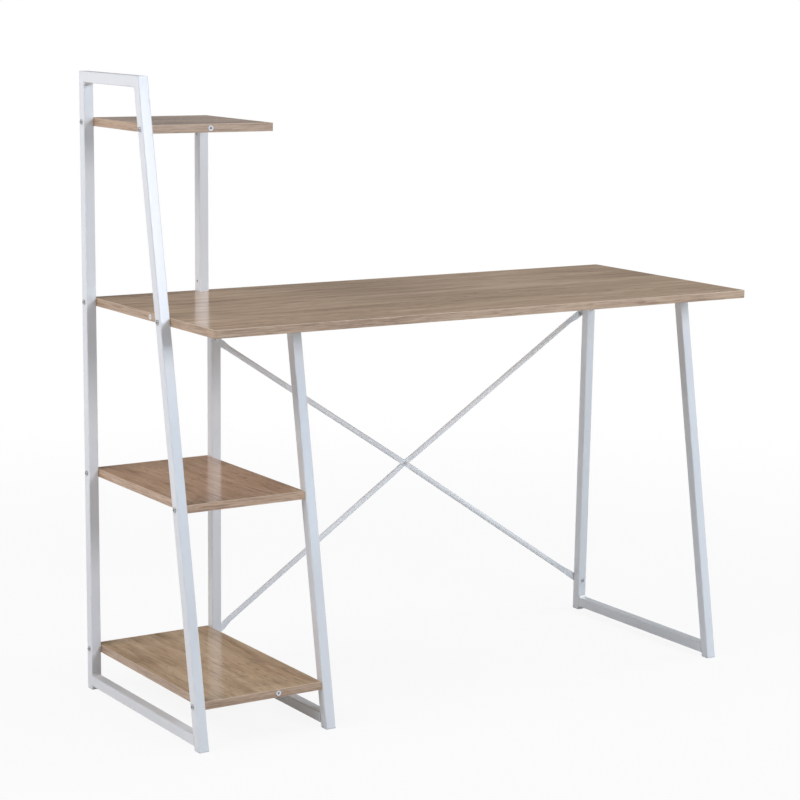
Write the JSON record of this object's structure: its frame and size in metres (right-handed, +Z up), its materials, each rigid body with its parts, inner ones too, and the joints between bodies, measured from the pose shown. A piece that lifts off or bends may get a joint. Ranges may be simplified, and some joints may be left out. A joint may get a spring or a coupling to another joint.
{
  "type": "ladder desk",
  "caption": "Writing desk with a leaning ladder frame at one end carrying open shelves above and below the desktop, trestle frames and a crossed rear brace.",
  "frame": {"origin": "on the floor, under the middle of the bounding box", "axes": "+X to the right along the desktop, -Y to the front where the user sits, +Z up"},
  "size_m": [1.2106, 0.491, 1.172],
  "materials": {
    "white_steel": "white powder coat, satin",
    "desktop_oak": "light oak melamine, satin, grain along the desktop",
    "top_shelf_oak": "light oak melamine, satin",
    "lower_shelf_oak": "light oak melamine, satin, grain from front to back",
    "oak_edging": "light oak edge band, satin, grain along the edge",
    "zinc_steel": "bright zinc plate",
    "white_plastic": "white moulded nylon",
    "grey_plastic": "grey moulded plastic"
  },
  "bodies": {
    "root": {"board_end_nuts": "white_plastic", "bottom_shelf_board": "lower_shelf_oak", "bottom_shelf_edge_band": "oak_edging", "brace_centre_nut": "zinc_steel", "brace_centre_screw": "zinc_steel", "brace_end_bolts": "zinc_steel", "brace_end_nuts": "zinc_steel", "desktop_board": "desktop_oak", "desktop_edge_band": "oak_edging", "desktop_underside_nuts": "white_plastic", "falling_brace": "white_steel", "foot_plugs": "grey_plastic", "ladder_bottom_rail": "white_steel", "ladder_frame_bolts": "zinc_steel", "ladder_front_leg": "white_steel", "ladder_rear_upright": "white_steel", "ladder_top_rail": "white_steel", "ladder_weld_beads": "white_steel", "middle_bottom_rail": "white_steel", "middle_frame_shelf_bolts": "zinc_steel", "middle_front_leg": "white_steel", "middle_rear_leg": "white_steel", "middle_shelf_board": "lower_shelf_oak", "middle_shelf_edge_band": "oak_edging", "middle_top_rail": "white_steel", "middle_weld_beads": "white_steel", "post_lock_screws": "zinc_steel", "post_plug_screws": "zinc_steel", "post_plugs": "grey_plastic", "right_bottom_rail": "white_steel", "right_front_leg": "white_steel", "right_rear_leg": "white_steel", "right_top_rail": "white_steel", "right_weld_beads": "white_steel", "rising_brace": "white_steel", "shelf_post": "white_steel", "spare_edge_nuts": "white_plastic", "top_rail_bolts": "zinc_steel", "top_shelf_board": "top_shelf_oak", "top_shelf_edge_band": "oak_edging"}
  },
  "joints": []
}
